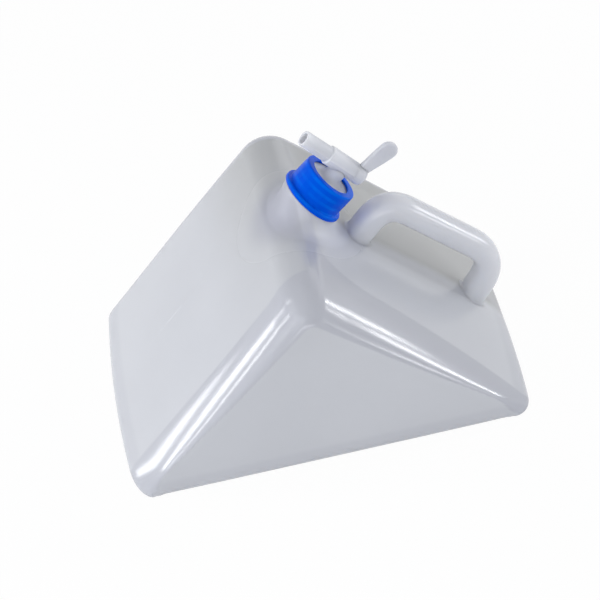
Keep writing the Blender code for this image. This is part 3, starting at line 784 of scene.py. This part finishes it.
def makeNeck():
    s = neck
    n = s["steps"]
    a = 2 * math.pi * np.arange(n) / n
    circle = np.stack([np.cos(a), np.sin(a), np.zeros(n)], 1)
    collarLow = s["collar"] - s["collarStep"]
    upper = circle * s["collarRadius"] + np.array([0, 0, collarLow])
    lower = circle * s["footRadius"] + np.array([s["lean"], 0, s["footLevel"]])
    upper, lower = toWorld(upper, capFoot, capTurn), toWorld(lower, capFoot, capTurn)
    above, rings = footBlend(upper, lower, s)
    wall = [upper * (1 - k) + above * k for k in s["wallRows"]]
    line = roundedLine([(s["bore"], s["boreStart"]), (s["bore"], s["top"]), (s["radius"], s["top"]),
                        (s["radius"], s["collar"]), (s["collarRadius"], s["collar"]),
                        (s["collarRadius"], collarLow)], s["edges"], s["edgeSteps"])
    tube = [toWorld(np.stack([circle[:, 0] * r, circle[:, 1] * r, np.full(n, z)], 1), capFoot, capTurn)
            for r, z in line]
    allRings = tube + wall + rings
    points = np.concatenate(allRings)
    start = s["collar"] + thread["rootWidth"]
    tp, tf = threadPoints(s["radius"], s["radius"] + s["threadHeight"], start, n)
    faces = ringFaces(len(allRings), n) + shifted(tf, len(points))
    points = np.concatenate([points, toWorld(tp, capFoot, capTurn)])
    item = meshObject("neckMoulding", points, faces, bodyFinish, "root", sharp=50)
    markFilmShadeAndMatt(item)
    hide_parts("threaded_neck")


makeNeck()
print("neck is made")


# carrying handle, moulded in one with the film

handle = {"near": 0.0690, "far": 0.1805, "nearLevel": 0.0412, "farLevel": 0.0440, "depth": 0.0205,
          "width": 0.0240, "nearBend": 0.0215, "farBend": 0.0270, "flare": 0.0030, "root": 0.0100,
          "legStop": 0.0125, "oval": 0.80, "sides": 56, "bendSteps": 16, "gripSteps": 20, "legSteps": 4,
          "blendUp": 0.0030, "blendOut": 0.0026, "flow": 1.0, "spread": 0.6, "blendSteps": 10}


# Centre line of the handle in its middle plane, place down the slope and level
def handlePath():
    s = handle
    nearLeg = Vector((s["near"], -s["root"]))
    nearCorner = Vector((s["near"], s["nearLevel"]))
    farCorner = Vector((s["far"] - s["flare"], s["farLevel"]))
    farLeg = Vector((s["far"] + s["flare"], -s["root"]))
    legTop = nearCorner + (nearLeg - nearCorner).normalized() * s["nearBend"]
    legLow = nearLeg + (nearCorner - nearLeg).normalized() * (s["root"] + s["legStop"])
    line = [legLow.lerp(legTop, k / s["legSteps"]) for k in range(s["legSteps"])]
    for before, corner, after, bend in ((nearLeg, nearCorner, farCorner, s["nearBend"]),
                                        (nearCorner, farCorner, farLeg, s["farBend"])):
        back = (before - corner).normalized()
        on = (after - corner).normalized()
        turned = [corner + back * bend * (1 - k) ** 2 + on * bend * k ** 2
                  for k in np.linspace(0, 1, s["bendSteps"] + 1)]
        if len(line) > s["legSteps"]:
            last = line[-1]
            line += [last.lerp(turned[0], k / s["gripSteps"]) for k in range(1, s["gripSteps"])]
        line += turned
    last = line[-1]
    end = farLeg + (farCorner - farLeg).normalized() * (s["root"] + s["legStop"])
    line += [last.lerp(end, k / s["legSteps"]) for k in range(1, s["legSteps"] + 1)]
    return line, nearLeg, farLeg


# Oval section round a point of the path
def handleSection(middle, way):
    s = handle
    side = Vector((way.y, -way.x))
    ring = []
    for k in range(s["sides"]):
        a = 2 * math.pi * k / s["sides"]
        c, d = math.cos(a), math.sin(a)
        deep = s["depth"] / 2 * math.copysign(abs(c) ** s["oval"], c)
        wide = s["width"] / 2 * math.copysign(abs(d) ** s["oval"], d)
        ring.append((middle.x + side.x * deep, wide, middle.y + side.y * deep))
    return np.array(ring)


def makeHandle():
    s = handle
    line, nearLeg, farLeg = handlePath()
    rings = []
    for i, middle in enumerate(line):
        way = (line[min(i + 1, len(line) - 1)] - line[max(i - 1, 0)]).normalized()
        rings.append(toWorld(handleSection(middle, way), (0, 0, ridgeLevel)))
    feet = []
    for ring, leg, middle in ((rings[0], nearLeg, line[0]), (rings[-1], farLeg, line[-1])):
        drop = leg - middle
        lower = ring + toWorld([(drop.x, 0, drop.y)], (0, 0, 0))
        feet.append(footBlend(ring, lower, s)[1])
    allRings = feet[0][::-1] + rings + feet[1]
    item = meshObject("gripMoulding", np.concatenate(allRings), ringFaces(len(allRings), s["sides"]),
                      gripFinish, "root", sharp=75)
    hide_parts("carry_handle")


makeHandle()
print("handle is made")


# mould seam down the left slope

# ends as places down the slope and along Y
seam = {"from": (0.089, 0.0108), "to": (0.172, 0.0136), "width": 0.0009, "height": 0.00022,
        "sunk": 0.00002, "steps": 70}


def makeSeam():
    s = seam
    rings = []
    for k in np.linspace(0, 1, s["steps"] + 1):
        down = s["from"][0] + (s["to"][0] - s["from"][0]) * k
        y = s["from"][1] + (s["to"][1] - s["from"][1]) * k
        grow = math.sin(math.pi * k) ** 0.5 if 0 < k < 1 else 0.0
        x = -down / math.sqrt(2)
        z = ridgeLevel - down / math.sqrt(2)
        row = settle([(x, y - s["width"] / 2, z), (x, y, z), (x, y + s["width"] / 2, z)], -s["sunk"])
        row[1] += slopesOf(row[1:2])[0] * s["height"] * grow
        rings.append(row)
    meshObject("mouldSeam", np.concatenate(rings), ringFaces(len(rings), 3, closed=False), bodyFinish,
               "root", sharp=89)


makeSeam()


# cap ring

ring = {"inner": 0.0205, "outer": 0.0225, "foot": 0.0140, "top": 0.0374, "lip": 0.0020,
        "lipRadius": 0.0165, "flange": 0.0256, "flangeHeight": 0.0042, "flangeStep": 0.0002,
        "taper": 0.0001, "edges": [0, 0.0018, 0.0016, 0.0010, 0.0011, 0.0006, 0.0006, 0.0006, 0],
        "edgeSteps": 6, "rowHeight": 0.0016, "ribs": 24, "ribRise": 0.00012, "ribBand": 0.00025,
        "ribLow": 0.0010, "ribHigh": 0.0030, "ribFadeLow": 0.0012, "ribFadeHigh": 0.0016, "steps": 288,
        "threadCrest": 0.0190, "threadSteps": 96}


def makeRing():
    s = ring
    flangeTop, under = s["foot"] + s["flangeHeight"], s["top"] - s["lip"]
    line = roundedLine([
        (s["inner"], s["foot"]), (s["flange"], s["foot"]), (s["flange"], flangeTop),
        (s["outer"], flangeTop + s["flangeStep"]), (s["outer"] - s["taper"], s["top"]),
        (s["lipRadius"], s["top"]), (s["lipRadius"], under), (s["inner"], under),
        (s["inner"], s["foot"])], s["edges"], s["edgeSteps"])
    dense = []
    for a, b in zip(line[:-1], line[1:]):
        parts = max(1, round(math.dist(a, b) / s["rowHeight"]))
        dense += [(a[0] + (b[0] - a[0]) * k / parts, a[1] + (b[1] - a[1]) * k / parts) for k in range(parts)]
    points = []
    low, high = flangeTop + s["ribLow"], s["top"] - s["ribHigh"]
    for r, z in dense:
        for i in range(s["steps"]):
            a = 2 * math.pi * i / s["steps"]
            lift = 0.0
            if abs(r - s["outer"]) < s["ribBand"] and z > low:
                fade = min(1.0, (z - low) / s["ribFadeLow"], max(0.0, (high - z) / s["ribFadeHigh"]))
                lift = s["ribRise"] * fade * max(0.0, math.cos(s["ribs"] * a)) ** 6
            points.append(((r + lift) * math.cos(a), (r + lift) * math.sin(a), z))
    count = s["steps"]
    faces = ringFaces(len(dense), count)
    lastRow = (len(dense) - 1) * count
    faces += [(lastRow + i, i, (i + 1) % count, lastRow + (i + 1) % count) for i in range(count)]
    # half a turn ahead of the neck's thread, so that the two run side by side
    start = neck["collar"] + thread["rootWidth"] + thread["pitch"] / 2
    tp, tf = threadPoints(s["inner"], s["threadCrest"], start, s["threadSteps"])
    faces += shifted(tf, len(points))
    points += tp
    item = meshObject("capRing", points, faces, blueFinish, "ring", capFoot, capTurn, sharp=50)
    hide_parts("cap_ring")


makeRing()
print("cap ring is made")


# tap

tap = {"disc": 0.0192, "discLevel": 0.0329, "discTop": 0.0351, "stem": 0.0074, "stemTaper": 0.97,
       "stemEnd": 0.0035, "discEdges": [0, 0.0004, 0.0006, 0.0060, 0, 0], "discSteps": 8,
       "level": 0.0507, "barrel": 0.0076, "barrelEnd": 0.0098, "step": -0.0153, "stepDrop": 0.0004,
       "spout": 0.0064, "spoutTip": 0.0062, "spoutBore": 0.0044, "spoutEnd": 0.0400,
       "boreDepth": 0.0300, "boreTaper": 0.96, "tubeSteps": 6,
       "tubeEdges": [0, 0.0003, 0.0009, 0.0008, 0.0006, 0.0004, 0, 0], "steps": 96,
       "partRise": 0.00030, "partWidth": 0.0009, "partSlack": 0.0002, "stepEdge": (0.0006, 0.0010),
       # the last two set the painted highlight on the parting line and on the step and mouth
       "mouthEdge": 0.0006, "partHighlight": 0.8, "stepAndMouthHighlight": 0.6}


# The mould's parting line stands up along both sides of the spout and the barrel
def partingLine(point):
    s = tap
    x, y, z = point
    r = math.hypot(x, y)
    if r < s["spoutTip"] - s["partSlack"]:
        return point
    side = abs(x) / s["partWidth"]
    lift = s["partRise"] * max(0.0, 1 - side) if abs(y) > abs(x) else 0.0
    return (x * (1 + lift / r), y * (1 + lift / r), z)


def makeTap():
    s = tap
    stemTop = s["level"] - s["stemEnd"]
    disc = roundedLine([
        (0, s["discLevel"]), (s["disc"], s["discLevel"]), (s["disc"], s["discTop"]),
        (s["stem"], s["discTop"]), (s["stem"] * s["stemTaper"], stemTop), (0, stemTop)],
        s["discEdges"], s["discSteps"])
    points, faces = turnedPoints(disc, s["steps"])
    boreEnd = -s["spoutEnd"] + s["boreDepth"]
    tube = roundedLine([
        (0, s["barrelEnd"]), (s["barrel"], s["barrelEnd"]), (s["barrel"], s["step"]),
        (s["spout"], s["step"] - s["stepDrop"]), (s["spoutTip"], -s["spoutEnd"]),
        (s["spoutBore"], -s["spoutEnd"]), (s["spoutBore"] * s["boreTaper"], boreEnd), (0, boreEnd)],
        s["tubeEdges"], s["tubeSteps"])
    tp, tf = turnedPoints(tube, s["steps"])
    faces += shifted(tf, len(points))
    # laid across the stem, along the slope
    points += [(z, y, s["level"] - x) for x, y, z in map(partingLine, tp)]
    item = meshObject("tapMoulding", points, faces, tapFinish, "tap", capFoot, capTurn, sharp=50)
    # Painted highlight: a paler tone along the parting line, round the step and at the mouth
    layer = item.data.attributes.new("edgeHighlight", "FLOAT", "POINT")
    stepLow, stepHigh = s["step"] - s["stepEdge"][0], s["step"] + s["stepEdge"][1]
    for i, vert in enumerate(item.data.vertices):
        x, y, z = vert.co
        onLine = abs(y) > s["spoutTip"] and abs(z - s["level"]) < s["partWidth"] / 3
        onStep = stepLow < x < stepHigh and z > s["discTop"]
        onMouth = x < -s["spoutEnd"] + s["mouthEdge"]
        layer.data[i].value = s["partHighlight"] if onLine else s["stepAndMouthHighlight"] if onStep or onMouth else 0.0
    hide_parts("tap_body")


makeTap()


key = {"near": 0.0098, "head": 0.0074, "headLength": 0.0102, "headEdges": [0, 0.0040, 0.0003, 0, 0, 0],
       "headSteps": 8, "leverPlace": 0.0143, "reach": 0.0368, "rootWidth": 0.0084, "tipWidth": 0.0142,
       "even": 0.3, "sideSteps": 22, "tipSteps": 29, "thickness": 0.0042, "lean": 9.5, "edgeRound": 0.0014,
       "edgeSteps": 7, "faceInset": 0.0006, "plug": 0.0050, "plugEnd": -0.0094, "steps": 80}


# Outline of the lever from the root's left corner over the tip, with its outward directions
def leverOutline():
    s = key
    root, tip = s["rootWidth"] / 2, s["tipWidth"] / 2
    straight = s["reach"] - tip
    rise = np.linspace(0, 1, s["sideSteps"])
    width = root + (tip - root) * (s["even"] * rise + (1 - s["even"]) * rise * rise * (3 - 2 * rise))
    side = list(zip(width, straight * rise))
    turn = [(tip * math.cos(a), straight + tip * math.sin(a))
            for a in np.linspace(0, math.pi, s["tipSteps"])[1:-1]]
    line = np.array(side + turn + [(-x, z) for x, z in side[::-1]])
    way = np.gradient(line, axis=0)
    way /= np.linalg.norm(way, axis=1)[:, None]
    out = np.stack([way[:, 1], -way[:, 0]], 1)
    out[0], out[-1] = (1, 0), (-1, 0)
    return line, out


def makeKey():
    s = key
    end = s["near"] + s["headLength"]
    head = roundedLine([(0, end), (s["head"], end), (s["head"], s["near"]), (s["plug"], s["near"]),
                        (s["plug"], s["plugEnd"]), (0, s["plugEnd"])],
                       s["headEdges"], s["headSteps"])
    hp, faces = turnedPoints(head, s["steps"])
    points = [(z, y, -x) for x, y, z in hp]
    line, out = leverOutline()
    half, r = s["thickness"] / 2, s["edgeRound"]
    rows = [(r + s["faceInset"], -half)]
    rows += [(r * (1 - math.sin(b)), -half + r * (1 - math.cos(b)))
             for b in np.linspace(0, math.pi / 2, s["edgeSteps"])]
    rows += [(inward, -y) for inward, y in rows[::-1]]
    lean = math.radians(s["lean"])
    start = len(points)
    for inward, y in rows:
        for x, z in line - out * inward:
            points.append((s["leverPlace"] + x * math.cos(lean) + z * math.sin(lean), y,
                           -x * math.sin(lean) + z * math.cos(lean)))
    count = len(line)
    lever = ringFaces(len(rows), count, start=start)
    lever.append(tuple(start + i for i in reversed(range(count))))
    lever.append(tuple(start + (len(rows) - 1) * count + i for i in range(count)))
    points = [(x, y, z + tap["level"]) for x, y, z in points]
    item = meshObject("tapKey", points, faces + lever, tapFinish, "key", capFoot, capTurn,
                      sharp=55)
    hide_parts("tap_key")


makeKey()
print("tap and key are made")


# the washer keeps its solid's own shape
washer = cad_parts["neck_washer"]
washer.data.materials.clear()
washer.data.materials.append(washerFinish)
